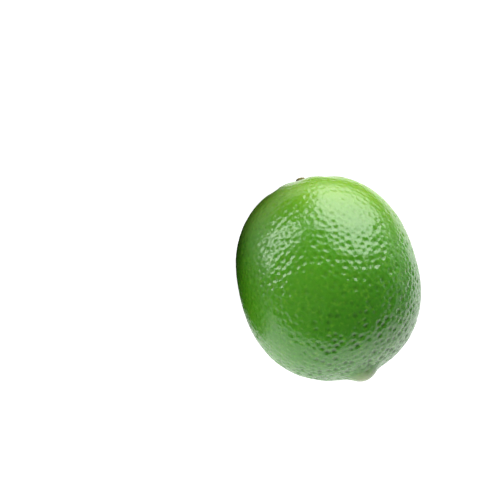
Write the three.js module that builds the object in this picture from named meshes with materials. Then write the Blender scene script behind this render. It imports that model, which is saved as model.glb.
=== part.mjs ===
// A whole lime lying on its side, as picked, with its calyx still on the stem end.
// Millimetres, +Z up. The fruit's axis runs along X with the nipple at +X, and the origin is on the
// surface that the fruit rests on, under the middle of its length.
import * as THREE from "three";
import { ConvexHull } from "three/addons/math/ConvexHull.js";

// Fruit
const HALF_LENGTH = 29.4; // centre to the foot of the nipple
const HALF_WIDTH = 26; // radius of the widest girth
const ROUNDNESS = 2.27; // 2 would be an ellipsoid; more gives fuller shoulders
const BLUNT_END = 0.02; // share by which the nipple end is longer than the stem end
const LOPSIDE = -0.015; // share by which one flank is fuller than the other
const FLAT_DEPTH = 0.45; // how far the skin gives way where the fruit rests

// Nipple, at the flower end
const NIPPLE_HEIGHT = 2.5;
const NIPPLE_ANGLE = 0.138; // its half width, in radians seen from the fruit's centre
const NIPPLE_BLUNTNESS = 2.5; // 2 would be a round hill; more gives a flatter tip
const NIPPLE_LEAN = 0.088; // how far it points aside, towards +Y, for each unit along the axis
const NIPPLE_DROOP = 0.06; // how far it points down, in the same measure

// Stem end
const SEAT_DEPTH = 1.3; // the hollow that the calyx sits in
const SEAT_ANGLE = 0.19;
const RIB_COUNT = 9; // soft ribs that run out from the hollow
const RIB_HEIGHT = 0.18;
const RIB_ANGLE = 0.42; // where they are strongest
const RIB_WIDTH = 0.2;

// Oil pits in the skin
const PIT_COUNT = 1700;
const PIT_CROWDING = 1.22; // 1 would spread the pits evenly; more crowds them towards the nipple
const PIT_DEPTH = 0.3; // of an average pit
const PIT_SPREAD = 0.4; // share by which a pit may be deeper or shallower than that
const PIT_JITTER = 0.3; // how far pits stray from an even pattern, as a share of their spacing
const PIT_SEED = 20;
const BARE_EDGE = 4; // how sharply the pits stop round the calyx and on the nipple

// Calyx, a dry five-lobed cap with the stub of the cut stalk
const SEPAL_COUNT = 5;
const SEPAL_REACH = 1.1; // how far a lobe's tip stands out past the cap
const SEPAL_POINT = 1.5; // 1 would be a rounded lobe; more draws it to a point
const NOTCH_LIFT = 0.3; // how far the rim stands up between the lobes
const CAP_RADIUS = 3.3;
const CAP_THICKNESS = 1; // beside the stub
const CROWN_SHARE = 0.8; // share of the radius where the cap starts to thin
const CROWN_DROP = 0.15; // how far the top has fallen there
const RIM_LIFT = 0.12; // how far the rim curls up
const RIM_THICKNESS = 0.38;
const STUB_RADIUS = 1.45;
const STUB_HEIGHT = 2.3;
const STUB_FLARE = 0.38; // where the stub runs out into the cap
const CUT_EDGE = 0.28; // rounding of the cut end
const CALYX_GAP = 0.35; // clear space between the cap and the skin
const CALYX_SIDES = 60;

const SEAT_FLOOR = HALF_LENGTH * (1 - BLUNT_END) - SEAT_DEPTH;
const STUB_TOP = CAP_THICKNESS + STUB_HEIGHT;
const STEM_TIP = SEAT_FLOOR + CALYX_GAP + STUB_TOP;
const REST_HEIGHT = HALF_WIDTH - FLAT_DEPTH; // of the fruit's centre

const skin = new THREE.MeshStandardMaterial({ color: 0x4c8f22, roughness: 0.38, metalness: 0 });
const dryCalyx = new THREE.MeshStandardMaterial({ color: 0x8a7f45, roughness: 0.85, metalness: 0 });

const nippleAxis = new THREE.Vector3(1, NIPPLE_LEAN, -NIPPLE_DROOP).normalize();
const stemAxis = new THREE.Vector3(-1, 0, 0);

// A hill of height 1 at 0 that falls away smoothly; a higher power gives it a flatter top.
function hill(distance, width, power = 2) {
  return Math.exp(-(Math.abs(distance / width) ** power));
}

// A repeatable stream of numbers from 0 to 1.
function seededRandom(seed) {
  let state = seed;
  return () => {
    state = (state + 0x6d2b79f5) | 0;
    let mixed = Math.imul(state ^ (state >>> 15), 1 | state);
    mixed = (mixed + Math.imul(mixed ^ (mixed >>> 7), 61 | mixed)) ^ mixed;
    return ((mixed ^ (mixed >>> 14)) >>> 0) / 2 ** 32;
  };
}

// Distance from the fruit's centre to its smooth skin, along a unit direction.
function skinRadius(direction) {
  const along = Math.abs(direction.x) / HALF_LENGTH;
  const across = Math.hypot(direction.y, direction.z) / HALF_WIDTH;
  const round = (along ** ROUNDNESS + across ** ROUNDNESS) ** (-1 / ROUNDNESS);
  const uneven = 1 + BLUNT_END * direction.x + LOPSIDE * direction.y * direction.z;
  const fromNipple = direction.angleTo(nippleAxis);
  const fromStem = direction.angleTo(stemAxis);
  const nipple = NIPPLE_HEIGHT * hill(fromNipple, NIPPLE_ANGLE, NIPPLE_BLUNTNESS);
  const seat = SEAT_DEPTH * hill(fromStem, SEAT_ANGLE);
  const turn = Math.atan2(direction.z, direction.y);
  const ribs = RIB_HEIGHT * Math.cos(RIB_COUNT * turn) * hill(fromStem - RIB_ANGLE, RIB_WIDTH);
  return round * uneven + nipple - seat + ribs;
}

// Pit centres: a Fibonacci spiral over all directions, from the nipple on, each point strayed a little.
function pitDirections() {
  const random = seededRandom(PIT_SEED);
  const goldenTurn = Math.PI * (3 - Math.sqrt(5));
  const stray = PIT_JITTER * Math.sqrt((4 * Math.PI) / PIT_COUNT);
  return Array.from({ length: PIT_COUNT }, (_, i) => {
    const along = 1 - 2 * ((i + 0.5) / PIT_COUNT) ** PIT_CROWDING;
    const across = Math.sqrt(1 - along * along);
    const turn = i * goldenTurn;
    const point = new THREE.Vector3(along, across * Math.cos(turn), across * Math.sin(turn));
    const shift = new THREE.Vector3(random() - 0.5, random() - 0.5, random() - 0.5);
    return point.addScaledVector(shift, stray).normalize();
  });
}

// A point of the skin. Where it would sink below the resting surface it lies flat on it, with no pit.
function skinPoint(direction, pitDepth) {
  const radius = skinRadius(direction);
  const floorRadius = direction.z < 0 ? REST_HEIGHT / -direction.z : Infinity;
  const reach = radius < floorRadius ? radius - pitDepth : floorRadius;
  return direction.clone().multiplyScalar(reach);
}

// The bottom of each pit. The skin is bare of pits under the calyx and on the nipple.
function pitBottoms(pits) {
  const random = seededRandom(PIT_SEED + 1);
  return pits.map((pit) => {
    const depth = PIT_DEPTH * (1 + PIT_SPREAD * (2 * random() - 1));
    const underCalyx = hill(pit.angleTo(stemAxis), SEAT_ANGLE, BARE_EDGE);
    const onNipple = hill(pit.angleTo(nippleAxis), NIPPLE_ANGLE, BARE_EDGE);
    return skinPoint(pit, depth * (1 - underCalyx) * (1 - onNipple));
  });
}

// The pitted skin as one closed mesh. The pits are joined into triangles; each triangle's middle becomes
// a point on the rim, and each pit is then ringed by the rim points of the triangles around it.
function fruitGeometry() {
  const pits = pitDirections();
  const bottoms = pitBottoms(pits);
  const index = new Map(pits.map((pit, i) => [pit, i]));
  const faces = new ConvexHull().setFromPoints(pits).faces.map(({ edge }) => {
    const corners = [edge.prev, edge, edge.next].map((side) => index.get(side.head().point));
    const middle = new THREE.Vector3();
    corners.forEach((corner) => middle.add(pits[corner]));
    return { corners, rim: skinPoint(middle.normalize(), 0) };
  });
  const rimBeside = new Map();
  faces.forEach(({ corners, rim }) => {
    corners.forEach((corner, i) => rimBeside.set(corner + ">" + corners[(i + 1) % 3], rim));
  });
  const points = [];
  faces.forEach(({ corners, rim }) => {
    corners.forEach((corner, i) => {
      const next = corners[(i + 1) % 3];
      points.push(bottoms[corner], rimBeside.get(next + ">" + corner), rim);
    });
  });
  return new THREE.BufferGeometry().setFromPoints(points);
}

// The calyx about its own +Y, with its underside at 0: a turned profile whose rim is drawn out into lobes.
function calyxGeometry() {
  const profile = [
    [0, 0],
    [CAP_RADIUS * CROWN_SHARE, 0],
    [CAP_RADIUS, RIM_LIFT],
    [CAP_RADIUS, RIM_LIFT + RIM_THICKNESS],
    [CAP_RADIUS * CROWN_SHARE, CAP_THICKNESS - CROWN_DROP],
    [STUB_RADIUS + STUB_FLARE, CAP_THICKNESS],
    [STUB_RADIUS, CAP_THICKNESS + STUB_FLARE],
    [STUB_RADIUS, STUB_TOP - CUT_EDGE],
    [STUB_RADIUS - CUT_EDGE, STUB_TOP],
    [0, STUB_TOP],
  ].map(([radius, height]) => new THREE.Vector2(radius, height));
  const geometry = new THREE.LatheGeometry(profile, CALYX_SIDES);
  const place = geometry.getAttribute("position");
  for (let i = 0; i < place.count; i++) {
    const radius = Math.hypot(place.getX(i), place.getZ(i));
    const turn = Math.atan2(place.getZ(i), place.getX(i));
    const outward = Math.max(0, (radius - STUB_RADIUS) / (CAP_RADIUS - STUB_RADIUS)) ** 2;
    const lobe = (0.5 + 0.5 * Math.cos(SEPAL_COUNT * turn)) ** SEPAL_POINT;
    const stretch = 1 + (SEPAL_REACH * lobe * outward) / CAP_RADIUS;
    place.setX(i, place.getX(i) * stretch);
    place.setZ(i, place.getZ(i) * stretch);
    place.setY(i, place.getY(i) + NOTCH_LIFT * outward * (1 - lobe));
  }
  return geometry;
}

const fruit = new THREE.Mesh(fruitGeometry(), skin);
fruit.name = "fruit";
fruit.geometry.computeBoundingBox();
const nippleTip = fruit.geometry.boundingBox.max.x;

const calyx = new THREE.Mesh(calyxGeometry(), dryCalyx);
calyx.name = "calyx";
calyx.rotation.z = Math.PI / 2; // its +Y turns to -X, out of the stem end
calyx.position.x = -(SEAT_FLOOR + CALYX_GAP);

const lime = new THREE.Group();
lime.add(fruit, calyx);
lime.position.set((STEM_TIP - nippleTip) / 2, 0, REST_HEIGHT);

export default lime;
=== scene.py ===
import math
import bmesh
import bpy
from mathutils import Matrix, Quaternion, Vector, noise


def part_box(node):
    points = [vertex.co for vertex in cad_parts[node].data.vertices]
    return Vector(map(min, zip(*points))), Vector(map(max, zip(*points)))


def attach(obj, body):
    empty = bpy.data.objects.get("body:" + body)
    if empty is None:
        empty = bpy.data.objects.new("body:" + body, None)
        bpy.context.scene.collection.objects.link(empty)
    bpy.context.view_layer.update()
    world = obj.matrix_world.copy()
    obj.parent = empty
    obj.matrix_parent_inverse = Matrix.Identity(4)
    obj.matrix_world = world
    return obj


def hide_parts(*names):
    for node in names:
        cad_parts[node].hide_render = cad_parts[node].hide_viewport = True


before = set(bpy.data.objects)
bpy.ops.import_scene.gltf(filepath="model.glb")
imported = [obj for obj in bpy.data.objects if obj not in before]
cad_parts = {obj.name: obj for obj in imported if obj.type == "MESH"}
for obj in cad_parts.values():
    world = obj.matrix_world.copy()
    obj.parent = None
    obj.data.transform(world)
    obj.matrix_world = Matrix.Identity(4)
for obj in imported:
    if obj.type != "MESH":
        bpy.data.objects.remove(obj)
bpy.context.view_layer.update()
print("frame loaded:", sorted(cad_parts))

# rind sizes in metres and radians; the keys are the inputs of the node tree
rindSizes = {
    "Half Length": 0.0294,  # centre to the foot of the nipple
    "Half Width": 0.026,
    "Roundness": 2.27,  # 2 is an ellipsoid, more gives fuller shoulders
    "Blunt End": 0.02,
    "Lopside": -0.015,
    "Flat Depth": 0.00045,  # how far the skin gives way on the floor
    "Nipple Height": 0.0023,
    "Nipple Angle": 0.133,
    "Nipple Bluntness": 2.5,
    "Nipple Lean": 0.093,  # aside and down, for each unit along the axis
    "Nipple Droop": 0.1,
    "Seat Depth": 0.0013,
    "Seat Angle": 0.19,
    "Rib Count": 9.0,
    "Rib Height": 0.00018,
    "Rib Angle": 0.42,
    "Rib Width": 0.2,
    "Pit Spacing": 0.0017,
    "Pit Depth": 0.00031,
    "Pit Radius": 0.00055,
    "Streak Depth": 0.00018,  # fine furrows that run out from both ends
    "Swell": 0.0003,  # slow hollows and swells of the skin
}
rindCounts = {"Edge Points": 129, "Seed": 7}
calyxGap = 0.00035  # clear space under the calyx
stemAxis = (-1.0, 0.0, 0.0)
smoothSide = (0.62, -0.69, 0.375)  # towards the middle of the part with shallow pits

seatFloor = rindSizes["Half Length"] * (1 - rindSizes["Blunt End"]) - rindSizes["Seat Depth"]
limeCentre = Vector((
    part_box("calyx")[1].x + seatFloor + calyxGap,
    0,
    rindSizes["Half Width"] - rindSizes["Flat Depth"],
))
print("lime centre:", [round(c, 5) for c in limeCentre])


# a value in a node tree, so that sums and products read as a formula
class Value:
    def __init__(self, tree, socket):
        self.tree = tree
        self.socket = socket

    def __add__(self, other):
        return calc(self.tree, "ADD", self, other)

    def __radd__(self, other):
        return calc(self.tree, "ADD", other, self)

    def __sub__(self, other):
        return calc(self.tree, "SUBTRACT", self, other)

    def __rsub__(self, other):
        return calc(self.tree, "SUBTRACT", other, self)

    def __mul__(self, other):
        return calc(self.tree, "MULTIPLY", self, other)

    def __rmul__(self, other):
        return calc(self.tree, "MULTIPLY", other, self)

    def __truediv__(self, other):
        return calc(self.tree, "DIVIDE", self, other)

    def __rtruediv__(self, other):
        return calc(self.tree, "DIVIDE", other, self)

    def __pow__(self, other):
        return calc(self.tree, "POWER", self, other)


def feed(tree, socket, value):
    if isinstance(value, Value):
        tree.links.new(value.socket, socket)
    else:
        socket.default_value = value


def addNode(tree, kind, inputs, output, **settings):
    node = tree.nodes.new(kind)
    for name, setting in settings.items():
        setattr(node, name, setting)
    for name, value in inputs.items():
        feed(tree, next(s for s in node.inputs if s.enabled and s.name == name), value)
    return Value(tree, next(s for s in node.outputs if s.enabled and s.name == output))


def calc(tree, operation, *values):
    node = tree.nodes.new("ShaderNodeMath")
    node.operation = operation
    for socket, value in zip(node.inputs, values):
        feed(tree, socket, value)
    return Value(tree, node.outputs[0])


def vecCalc(tree, operation, *values, output="Vector"):
    node = tree.nodes.new("ShaderNodeVectorMath")
    node.operation = operation
    for socket, value in zip([s for s in node.inputs if s.enabled], values):
        feed(tree, socket, value)
    return Value(tree, node.outputs[output])


def splitVec(tree, vector):
    node = tree.nodes.new("ShaderNodeSeparateXYZ")
    feed(tree, node.inputs[0], vector)
    return [Value(tree, socket) for socket in node.outputs]


def joinVec(tree, x, y, z):
    return addNode(tree, "ShaderNodeCombineXYZ", {"X": x, "Y": y, "Z": z}, "Vector")


def noiseAt(tree, vector, scale, detail=2.0):
    inputs = {"Vector": vector, "Scale": scale, "Detail": detail}
    return addNode(tree, "ShaderNodeTexNoise", inputs, "Fac")


def hill(tree, distance, width, power=2.0):  # 1 at no distance, falling away smoothly
    steps = calc(tree, "ABSOLUTE", calc(tree, "DIVIDE", distance, width))
    return calc(tree, "EXPONENT", (steps ** power) * -1.0)


def ramp(tree, value, low, high):  # 0 below low, 1 above high
    inputs = {"Value": value, "From Min": low, "From Max": high}
    return addNode(tree, "ShaderNodeMapRange", inputs, "Result", interpolation_type="SMOOTHSTEP")


def angleTo(tree, direction, axis):
    return calc(tree, "ARCCOSINE", vecCalc(tree, "DOT_PRODUCT", direction, axis, output="Value"))


def aroundAxis(tree, direction, axis):  # unit vector square to the axis, the same all along a meridian
    along = vecCalc(tree, "PROJECT", direction, axis)
    return vecCalc(tree, "NORMALIZE", vecCalc(tree, "SUBTRACT", direction, along))


def treeInputs(tree, sizes, counts):
    for name in sizes:
        tree.interface.new_socket(name, in_out="INPUT", socket_type="NodeSocketFloat")
    for name in counts:
        tree.interface.new_socket(name, in_out="INPUT", socket_type="NodeSocketInt")
    tree.interface.new_socket("Centre", in_out="INPUT", socket_type="NodeSocketVector")
    tree.interface.new_socket("Material", in_out="INPUT", socket_type="NodeSocketMaterial")
    tree.interface.new_socket("Geometry", in_out="OUTPUT", socket_type="NodeSocketGeometry")
    group = tree.nodes.new("NodeGroupInput")
    return {socket.name: Value(tree, socket) for socket in group.outputs if socket.name}


def nippleAxis(tree, size):
    axis = joinVec(tree, 1.0, size["Nipple Lean"], size["Nipple Droop"] * -1.0)
    return vecCalc(tree, "NORMALIZE", axis)


def skinRadius(tree, direction, size):  # from the centre to the smooth skin
    x, y, z = splitVec(tree, direction)
    aside = calc(tree, "SQRT", y * y + z * z)
    power = size["Roundness"]
    along = calc(tree, "ABSOLUTE", x) / size["Half Length"]
    across = aside / size["Half Width"]
    body = (along ** power + across ** power) ** (-1.0 / power)
    uneven = 1.0 + size["Blunt End"] * x + size["Lopside"] * (y * z)
    fromNipple = angleTo(tree, direction, nippleAxis(tree, size))
    fromStem = angleTo(tree, direction, stemAxis)
    knob = hill(tree, fromNipple, size["Nipple Angle"], size["Nipple Bluntness"])
    nipple = size["Nipple Height"] * knob
    seat = size["Seat Depth"] * hill(tree, fromStem, size["Seat Angle"])
    turn = calc(tree, "ARCTAN2", z, y)
    wave = calc(tree, "COSINE", size["Rib Count"] * turn)
    ribs = size["Rib Height"] * wave * hill(tree, fromStem - size["Rib Angle"], size["Rib Width"])
    return body * uneven + nipple - seat + ribs


def storeFloat(tree, geometry, name, value):
    kind = "GeometryNodeStoreNamedAttribute"
    inputs = {"Geometry": geometry, "Name": name, "Value": value}
    return addNode(tree, kind, inputs, "Geometry", data_type="FLOAT", domain="POINT")


def setPlace(tree, geometry, place):
    inputs = {"Geometry": geometry, "Position": place}
    return addNode(tree, "GeometryNodeSetPosition", inputs, "Geometry")


def scatterPits(tree, skin, size):  # one point for each pit, with its depth and radius
    place = addNode(tree, "GeometryNodeInputPosition", {}, "Position")
    direction = vecCalc(tree, "NORMALIZE", vecCalc(tree, "SUBTRACT", place, size["Centre"]))
    along = splitVec(tree, direction)[0]
    kind = "GeometryNodeDistributePointsOnFaces"
    inputs = {"Mesh": skin, "Distance Min": size["Pit Spacing"], "Density Max": 4e6, "Seed": size["Seed"]}
    points = addNode(tree, kind, inputs, "Points", distribute_method="POISSON")
    inputs = {"Min": 0.0, "Max": 1.0}
    chance = addNode(tree, "FunctionNodeRandomValue", inputs, "Value", data_type="FLOAT")
    patch = noiseAt(tree, place, 70.0)
    smoothSpot = hill(tree, angleTo(tree, direction, smoothSide), 0.4, 3.0)
    inputs = {"Value": along, "From Min": -0.85, "From Max": 0.6, "To Min": 0.45, "To Max": 1.25}
    towardsNipple = addNode(tree, "ShaderNodeMapRange", inputs, "Result")
    underCalyx = hill(tree, angleTo(tree, direction, stemAxis), size["Seat Angle"], 4.0)
    onNipple = hill(tree, angleTo(tree, direction, nippleAxis(tree, size)), size["Nipple Angle"], 4.0)
    strong = towardsNipple * (1.0 - 0.6 * smoothSpot) * (0.6 + 0.8 * patch)
    strong = strong * (1.0 - underCalyx) * (1.0 - 0.8 * onNipple)
    depth = size["Pit Depth"] * (0.25 + 0.9 * chance ** 1.3) * strong
    radius = size["Pit Radius"] * (0.7 + 0.6 * chance)
    points = storeFloat(tree, points, "pitDepth", depth)
    return storeFloat(tree, points, "pitRadius", radius)


def nearestPit(tree, pits, name, index):
    kind = "GeometryNodeInputNamedAttribute"
    value = addNode(tree, kind, {"Name": name}, "Attribute", data_type="FLOAT")
    inputs = {"Geometry": pits, "Value": value, "Index": index}
    return addNode(tree, "GeometryNodeSampleIndex", inputs, "Value", data_type="FLOAT", domain="POINT")


def endStreaks(tree, direction, size):  # fine furrows that run out from the nipple and from the stem
    total = 0.0
    for axis, angle, width in ((nippleAxis(tree, size), 0.34, 0.2), (stemAxis, 0.5, 0.22)):
        ripple = noiseAt(tree, aroundAxis(tree, direction, axis), 6.0, 1.0) - 0.5
        total = ripple * hill(tree, angleTo(tree, direction, axis) - angle, width) + total
    return total


def rindTree():
    tree = bpy.data.node_groups.new("limeRind", "GeometryNodeTree")
    size = treeInputs(tree, rindSizes, rindCounts)
    place = addNode(tree, "GeometryNodeInputPosition", {}, "Position")
    normal = addNode(tree, "GeometryNodeInputNormal", {}, "Normal")
    edge = size["Edge Points"]
    inputs = {"Size": (2.0, 2.0, 2.0), "Vertices X": edge, "Vertices Y": edge, "Vertices Z": edge}
    cube = addNode(tree, "GeometryNodeMeshCube", inputs, "Mesh")
    even = vecCalc(tree, "TANGENT", vecCalc(tree, "MULTIPLY", place, (math.pi / 4,) * 3))
    ball = setPlace(tree, cube, vecCalc(tree, "NORMALIZE", even))  # a ball of even squares
    reach = vecCalc(tree, "MULTIPLY", place, skinRadius(tree, place, size))
    skin = setPlace(tree, ball, vecCalc(tree, "ADD", reach, size["Centre"]))

    pits = scatterPits(tree, skin, size)
    index = addNode(tree, "GeometryNodeSampleNearest", {"Geometry": pits}, "Index", domain="POINT")
    kind = "GeometryNodeSampleIndex"
    inputs = {"Geometry": pits, "Value": place, "Index": index}
    pitPlace = addNode(tree, kind, inputs, "Value", data_type="FLOAT_VECTOR", domain="POINT")
    away = vecCalc(tree, "DISTANCE", place, pitPlace, output="Value")
    radius = nearestPit(tree, pits, "pitRadius", index)
    bowl = 0.6 * hill(tree, away, radius) + 0.4 * hill(tree, away, 1.7 * radius)  # a core in a wide dip
    dent = bowl * nearestPit(tree, pits, "pitDepth", index)

    direction = vecCalc(tree, "NORMALIZE", vecCalc(tree, "SUBTRACT", place, size["Centre"]))
    streak = size["Streak Depth"] * endStreaks(tree, direction, size)
    fromStem = angleTo(tree, direction, stemAxis)
    swell = size["Swell"] * (noiseAt(tree, place, 95.0, 1.0) - 0.5) * ramp(tree, fromStem, 0.15, 0.4)
    lift = vecCalc(tree, "MULTIPLY", normal, swell + streak - dent)
    skin = storeFloat(tree, skin, "pit", dent / size["Pit Depth"])
    skin = setPlace(tree, skin, vecCalc(tree, "ADD", place, lift))
    x, y, z = splitVec(tree, place)
    level = calc(tree, "SMOOTH_MAX", z, 0.0, 0.0003)  # the flat spot
    skin = setPlace(tree, skin, joinVec(tree, x, y, level))

    skin = addNode(tree, "GeometryNodeSetShadeSmooth", {"Geometry": skin}, "Geometry")
    skin = addNode(tree, "GeometryNodeRealizeInstances", {"Geometry": skin}, "Geometry")
    inputs = {"Geometry": skin, "Material": size["Material"]}
    skin = addNode(tree, "GeometryNodeSetMaterial", inputs, "Geometry")
    feed(tree, tree.nodes.new("NodeGroupOutput").inputs[0], skin)
    return tree


def meshFromTree(name, tree, values):  # runs the tree on an empty object and keeps the plain mesh
    carrier = bpy.data.objects.new(name + "Carrier", bpy.data.meshes.new(name))
    bpy.context.scene.collection.objects.link(carrier)
    modifier = carrier.modifiers.new("tree", "NODES")
    modifier.node_group = tree
    for item in tree.interface.items_tree:
        if item.in_out == "INPUT":
            modifier[item.identifier] = values[item.name]
    graph = bpy.context.evaluated_depsgraph_get()
    mesh = bpy.data.meshes.new_from_object(carrier.evaluated_get(graph), depsgraph=graph)
    carrier.modifiers.remove(modifier)
    bpy.data.objects.remove(carrier)
    return mesh


def addPiece(name, mesh, node):
    piece = bpy.data.objects.new(name, mesh)
    bpy.context.scene.collection.objects.link(piece)
    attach(piece, "root")
    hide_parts(node)
    print(name, "faces:", len(mesh.polygons))


# colours are linear
rindLook = {
    "stemGreen": (0.20, 0.41, 0.010, 1),
    "flankGreen": (0.068, 0.27, 0.006, 1),
    "nippleGreen": (0.043, 0.21, 0.005, 1),
    "fleckGreen": (0.14, 0.36, 0.02, 1),
    # the next colour is painted shade, laid into the pits
    "paintedPitShade": (0.025, 0.12, 0.004, 1),
    "scarTan": (0.38, 0.39, 0.24, 1),
    "roughness": 0.24,
    "grain": 0.00009,  # height of the finest unevenness
    "ior": 1.62,
    "glow": 0.5,  # share of the light that spreads under the skin
    "glowRadius": (0.35, 1.0, 0.12),
    "glowScale": 0.006,
}


def newMaterial(name):
    material = bpy.data.materials.new(name)
    material.use_nodes = True
    tree = material.node_tree
    return material, tree, tree.nodes["Principled BSDF"]


def mixColour(tree, share, first, second):
    node = tree.nodes.new("ShaderNodeMix")
    node.data_type = "RGBA"
    for name, value in (("Factor", share), ("A", first), ("B", second)):
        feed(tree, next(s for s in node.inputs if s.enabled and s.name == name), value)
    return Value(tree, next(s for s in node.outputs if s.enabled))


def rindMaterial():
    material, tree, shader = newMaterial("limeRind")
    place = addNode(tree, "ShaderNodeTexCoord", {}, "Object")
    direction = vecCalc(tree, "NORMALIZE", vecCalc(tree, "SUBTRACT", place, limeCentre))
    x, y, z = splitVec(tree, direction)
    pit = addNode(tree, "ShaderNodeAttribute", {}, "Fac", attribute_name="pit")
    patch = noiseAt(tree, place, 60.0) - 0.5
    fromStem = x - 0.25 * y + 0.5 * patch
    greener = ramp(tree, fromStem, -1.0, -0.1)
    colour = mixColour(tree, greener, rindLook["stemGreen"], rindLook["flankGreen"])
    towardsNipple = x + 0.35 * y + 0.5 * patch
    colour = mixColour(tree, ramp(tree, towardsNipple, 0.0, 0.9), colour, rindLook["nippleGreen"])
    fleck = ramp(tree, noiseAt(tree, place, 750.0, 3.0), 0.5, 0.72)
    colour = mixColour(tree, 0.4 * fleck, colour, rindLook["fleckGreen"])
    pitShade = ramp(tree, pit, 0.35, 1.0) * (0.1 + 0.7 * ramp(tree, x, 0.58, 0.8))  # painted shade in the pits, darkest near the nipple
    colour = mixColour(tree, pitShade, colour, rindLook["paintedPitShade"])
    tip = Vector((1, rindSizes["Nipple Lean"], -rindSizes["Nipple Droop"])).normalized()
    fromTip = angleTo(tree, direction, tip)
    scar = 1.0 - ramp(tree, fromTip + 0.08 * patch, 0.03, 0.17)
    colour = mixColour(tree, 0.65 * scar, colour, rindLook["scarTan"])
    feed(tree, shader.inputs["Base Color"], colour)
    grain = {"Strength": 1.0, "Distance": rindLook["grain"], "Height": noiseAt(tree, place, 1300.0, 1.0)}
    feed(tree, shader.inputs["Normal"], addNode(tree, "ShaderNodeBump", grain, "Normal"))
    shader.inputs["Roughness"].default_value = rindLook["roughness"]
    shader.inputs["IOR"].default_value = rindLook["ior"]
    shader.inputs["Subsurface Weight"].default_value = rindLook["glow"]
    shader.inputs["Subsurface Radius"].default_value = rindLook["glowRadius"]
    shader.inputs["Subsurface Scale"].default_value = rindLook["glowScale"]
    return material


rindValues = {**rindSizes, **rindCounts, "Centre": limeCentre, "Material": rindMaterial()}
addPiece("rind", meshFromTree("rind", rindTree(), rindValues), "fruit")


# calyx sizes in metres; the profile runs from the middle of the underside to the middle of the cut face
calyxSizes = {
    "profile": [
        (0.0, 0.0), (0.0009, 0.0), (0.0018, 0.0), (0.00264, 0.0), (0.003, 0.00005), (0.0033, 0.00012),
        (0.00333, 0.0003), (0.0033, 0.00048), (0.003, 0.00068), (0.00264, 0.00084), (0.0022, 0.00094),
        (0.00183, 0.001), (0.0016, 0.0011), (0.00148, 0.00138), (0.00142, 0.0018), (0.0014, 0.0023),
        (0.00142, 0.00275), (0.0014, 0.003), (0.0013, 0.00318), (0.00115, 0.00327), (0.00098, 0.00324),
        (0.0007, 0.00312), (0.0004, 0.00304), (0.0, 0.003),
    ],
    "sides": 160,
    "lobes": 5,
    "capRadius": 0.0033,
    "stubRadius": 0.00145,
    "reach": 0.0011,  # of a lobe's tip past the cap
    "point": 1.5,
    "notchLift": 0.0003,
    "midrib": 0.00012,
    "wrinkle": 0.00014,
    "curl": 0.00025,  # how unevenly the lobes stand up
    "ridges": 0.09,  # of the stub, as a share of its radius
}


def calyxPoint(radius, height, turn, base):
    size = calyxSizes
    stub, cap = size["stubRadius"], size["capRadius"]
    outward = max(0, (radius - stub) / (cap - stub)) ** 2
    lobe = (0.5 + 0.5 * math.cos(size["lobes"] * turn)) ** size["point"]
    spot = Vector((math.cos(turn), math.sin(turn), 0))
    top = min(1, max(0, height / 0.0004))  # 0 on the underside
    rib = math.exp(-((math.sin(size["lobes"] * turn / 2) / 0.32) ** 2))
    crease = noise.noise(spot * 5 + Vector((0, 0, radius * 900)))
    uneven = noise.noise(spot * 1.6 + Vector((3, 1, 0)))
    lift = size["notchLift"] * (1 - lobe) + size["curl"] * lobe * uneven
    height += outward * lift + outward * top * size["midrib"] * rib
    if radius > stub:
        height += top * size["wrinkle"] * crease * min(1, (radius - stub) / 0.0006)
    if height > 0.0011:  # the stub
        radius *= 1 + size["ridges"] * noise.noise(spot * 3.2 + Vector((0, 0, height * 250)))
        height += 0.00012 * noise.noise(spot * (radius * 2600) + Vector((0, 7, 0)))
    radius *= 1 + size["reach"] * lobe * outward / cap
    return base + Vector((-height, radius * math.cos(turn), radius * math.sin(turn)))


def calyxMesh(base):
    sides = calyxSizes["sides"]
    profile = calyxSizes["profile"]
    rings = profile[1:-1]
    points = [calyxPoint(r, h, i * math.tau / sides, base) for r, h in rings for i in range(sides)]
    faces = []
    for k in range(len(rings) - 1):
        for i in range(sides):
            j = (i + 1) % sides
            faces.append((k * sides + j, k * sides + i, (k + 1) * sides + i, (k + 1) * sides + j))
    for height, ring, order in ((profile[0][1], 0, 1), (profile[-1][1], len(rings) - 1, -1)):
        centre = len(points)
        points.append(Vector((base.x - height, base.y, base.z)))
        for i in range(sides):
            faces.append((centre, ring * sides + i, ring * sides + (i + 1) % sides)[::order])
    mesh = bpy.data.meshes.new("calyx")
    mesh.from_pydata(points, [], faces)
    mesh.shade_smooth()
    return mesh


calyxLook = {
    "olive": (0.20, 0.19, 0.055, 1),
    "tan": (0.31, 0.26, 0.115, 1),
    "rimBrown": (0.11, 0.07, 0.025, 1),
    "cutWood": (0.45, 0.36, 0.20, 1),
    "pith": (0.24, 0.17, 0.08, 1),
    "roughness": 0.8,
}


def calyxMaterial(base):
    material, tree, shader = newMaterial("dryCalyx")
    place = addNode(tree, "ShaderNodeTexCoord", {}, "Object")
    x, y, z = splitVec(tree, vecCalc(tree, "SUBTRACT", place, base))
    aside = calc(tree, "SQRT", y * y + z * z)
    patch = noiseAt(tree, place, 900.0, 4.0)
    colour = mixColour(tree, ramp(tree, patch, 0.3, 0.7), calyxLook["olive"], calyxLook["tan"])
    rim = ramp(tree, aside + 0.0008 * patch, 0.0032, 0.0046)
    colour = mixColour(tree, 0.8 * rim, colour, calyxLook["rimBrown"])
    ring = ramp(tree, aside + 0.0003 * patch, 0.0002, 0.0006)
    wood = mixColour(tree, ring, calyxLook["pith"], calyxLook["cutWood"])
    cut = ramp(tree, x * -1.0, 0.0029, 0.0031) * (1.0 - ramp(tree, aside, 0.00115, 0.0013))
    feed(tree, shader.inputs["Base Color"], mixColour(tree, cut, colour, wood))
    shader.inputs["Roughness"].default_value = calyxLook["roughness"]
    return material


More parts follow.
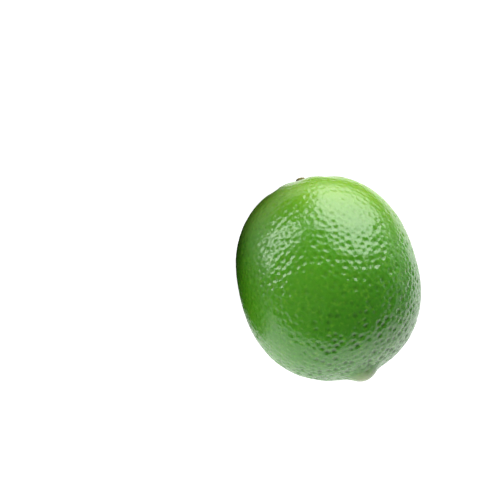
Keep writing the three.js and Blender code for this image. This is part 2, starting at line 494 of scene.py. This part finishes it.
calyxBase = Vector((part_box("calyx")[1].x, limeCentre.y, limeCentre.z))
calyx = calyxMesh(calyxBase)
calyx.materials.append(calyxMaterial(calyxBase))
addPiece("calyxPiece", calyx, "calyx")


# camera at the photo's angle; the offsets put the lime where it is in the frame
shot = {
    "azimuth": math.radians(75.85),
    "elevation": math.radians(70),
    "distance": 0.7,
    "frameWidth": 0.1441,  # metres that the frame spans at the lime
    "right": 0.0223,  # where the lime's centre sits, from the middle of the frame
    "down": 0.0076,
    "sensor": 36.0,
}
azimuth, elevation = shot["azimuth"], shot["elevation"]
back = Vector((
    math.sin(azimuth) * math.cos(elevation),
    -math.cos(azimuth) * math.cos(elevation),
    math.sin(elevation),
))
right = Vector((math.cos(azimuth), math.sin(azimuth), 0))
up = back.cross(right)


def addCamera():
    lens = bpy.data.cameras.new("camera")
    lens.sensor_width = shot["sensor"]
    lens.lens = shot["sensor"] * shot["distance"] / shot["frameWidth"]
    lens.clip_start = 0.01
    lens.clip_end = 50
    camera = bpy.data.objects.new("camera", lens)
    middle = limeCentre - right * shot["right"] + up * shot["down"]
    camera.location = middle + back * shot["distance"]
    camera.rotation_euler = (-back).to_track_quat("-Z", "Y").to_euler()
    bpy.context.scene.collection.objects.link(camera)
    bpy.context.scene.camera = camera


# turn is in degrees, from the far side of the lime towards the right of the frame
softboxes = [
    {"name": "rearBox", "turn": 22, "height": 27, "size": (0.68, 0.76), "tilt": 0, "power": 8.2,
     "gloss": True, "diffuse": True},
    {"name": "leftStrip", "turn": -62, "height": 26, "size": (0.16, 0.56), "tilt": 48, "power": 2.0,
     "gloss": True, "diffuse": False},
    {"name": "frontFill", "turn": 228, "height": 42, "size": (0.45, 0.45), "tilt": 0, "power": 2.8,
     "gloss": False, "diffuse": True},
]
softboxDistance = 0.6
# dark cards that stand where the photo has other fruit and leaves
flags = [
    {"name": "rightFlag", "turn": 75, "distance": 0.092, "size": (0.18, 0.032), "density": 1.0,
     "gloss": True, "shadow": False},
    {"name": "leftFlag", "turn": -73, "distance": 0.03, "size": (0.09, 0.05), "density": 1.0,
     "gloss": True, "shadow": True},
    {"name": "farFlag", "turn": 15, "distance": 0.07, "size": (0.14, 0.03), "density": 1.0,
     "gloss": True, "shadow": False},
    {"name": "leafShade", "turn": -36, "distance": 0.041, "size": (0.046, 0.085), "density": 1.0,
     "gloss": False, "shadow": True},
    {"name": "rearScrim", "turn": 15, "distance": 0.09, "size": (0.17, 0.08), "density": 0.28,
     "gloss": True, "shadow": True},
]
flagGreen = (0.02, 0.05, 0.008, 1)
studio = {"floorGrey": (0.5, 0.5, 0.5, 1), "floorGlow": 0.96, "floorRadius": 8, "skyStrength": 0.12}
far = Vector((-back.x, -back.y, 0)).normalized()


def levelDirection(degrees):
    turn = math.radians(degrees)
    return far * math.cos(turn) + right * math.sin(turn)


def addSoftbox(box):
    height = math.radians(box["height"])
    towards = levelDirection(box["turn"]) * math.cos(height) + Vector((0, 0, math.sin(height)))
    lamp = bpy.data.lights.new(box["name"], "AREA")
    lamp.shape = "RECTANGLE"
    lamp.size, lamp.size_y = box["size"]
    lamp.energy = box["power"]
    light = bpy.data.objects.new(box["name"], lamp)
    light.location = limeCentre + towards * softboxDistance
    tilt = Quaternion(towards, math.radians(box["tilt"]))
    light.rotation_euler = (tilt @ towards.to_track_quat("Z", "Y")).to_euler()
    light.visible_camera = False
    light.visible_glossy = box["gloss"]
    light.visible_diffuse = box["diffuse"]
    bpy.context.scene.collection.objects.link(light)


def addFlag(flag):  # an upright card with soft edges, hidden from the camera
    out = levelDirection(flag["turn"])
    side = out.cross(Vector((0, 0, 1)))
    wide, high = flag["size"]
    foot = Vector((limeCentre.x, limeCentre.y, 0)) + out * flag["distance"]
    top = Vector((0, 0, high))
    half = side * wide / 2
    mesh = bpy.data.meshes.new(flag["name"])
    mesh.from_pydata([foot - half, foot + half, foot + half + top, foot - half + top], [], [range(4)])
    material, tree, shader = newMaterial(flag["name"])
    fromFoot = vecCalc(tree, "SUBTRACT", addNode(tree, "ShaderNodeTexCoord", {}, "Object"), foot)
    across = vecCalc(tree, "DOT_PRODUCT", fromFoot, side, output="Value") / (wide / 2)
    rise = splitVec(tree, fromFoot)[2] / high
    edge = (across * across) ** 2.0 + (rise * rise) ** 2.0
    feed(tree, shader.inputs["Alpha"], flag["density"] * (1.0 - ramp(tree, edge, 0.08, 1.0)))
    shader.inputs["Base Color"].default_value = flagGreen
    shader.inputs["Roughness"].default_value = 1.0
    mesh.materials.append(material)
    card = bpy.data.objects.new(flag["name"], mesh)
    card.visible_camera = False
    card.visible_glossy = flag["gloss"]
    card.visible_shadow = flag["shadow"]
    bpy.context.scene.collection.objects.link(card)


def addFloor():
    mesh = bpy.data.meshes.new("floor")
    shape = bmesh.new()
    bmesh.ops.create_circle(shape, cap_ends=True, radius=studio["floorRadius"], segments=96)
    shape.to_mesh(mesh)
    shape.free()
    floor = bpy.data.objects.new("floor", mesh)
    floor.location.z = -0.0001  # just clear of the flat spot
    bpy.context.scene.collection.objects.link(floor)
    material, tree, shader = newMaterial("paleFloor")
    shader.inputs["Base Color"].default_value = studio["floorGrey"]
    shader.inputs["Roughness"].default_value = 0.9
    shader.inputs["Specular IOR Level"].default_value = 0.0
    shader.inputs["Emission Color"].default_value = (1, 1, 1, 1)
    shader.inputs["Emission Strength"].default_value = studio["floorGlow"]
    mesh.materials.append(material)


def addWorld():
    world = bpy.data.worlds.new("studio")
    bpy.context.scene.world = world
    world.use_nodes = True
    sky = world.node_tree.nodes["Background"]
    sky.inputs["Color"].default_value = (1, 1, 1, 1)
    sky.inputs["Strength"].default_value = studio["skyStrength"]


addCamera()
for box in softboxes:
    addSoftbox(box)
for flag in flags:
    addFlag(flag)
addFloor()
addWorld()
bpy.context.scene.view_settings.view_transform = "Standard"
print("camera, lights and floor made")
